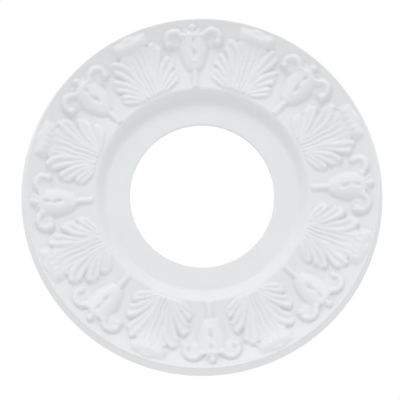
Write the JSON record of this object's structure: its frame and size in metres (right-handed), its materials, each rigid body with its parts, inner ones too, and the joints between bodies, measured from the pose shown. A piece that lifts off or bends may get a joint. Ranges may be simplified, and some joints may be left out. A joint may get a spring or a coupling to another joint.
{
  "type": "ceiling rose",
  "caption": "Round moulded ceiling rose with a centre hole for the light fitting, a stepped flange and a coved band carved with tulips and palmettes.",
  "frame": {"origin": "centre of the flat back, on the axis of the hole, where the back meets the ceiling", "axes": "+Z along the axis, up into the ceiling; the carved face looks down along -Z; +Y passes through the middle of a tulip"},
  "size_m": [0.254, 0.254, 0.019],
  "materials": {
    "satin_white": "satin white factory primer on moulded foam"
  },
  "bodies": {
    "root": {"ceiling_rose": "satin_white"}
  },
  "joints": []
}
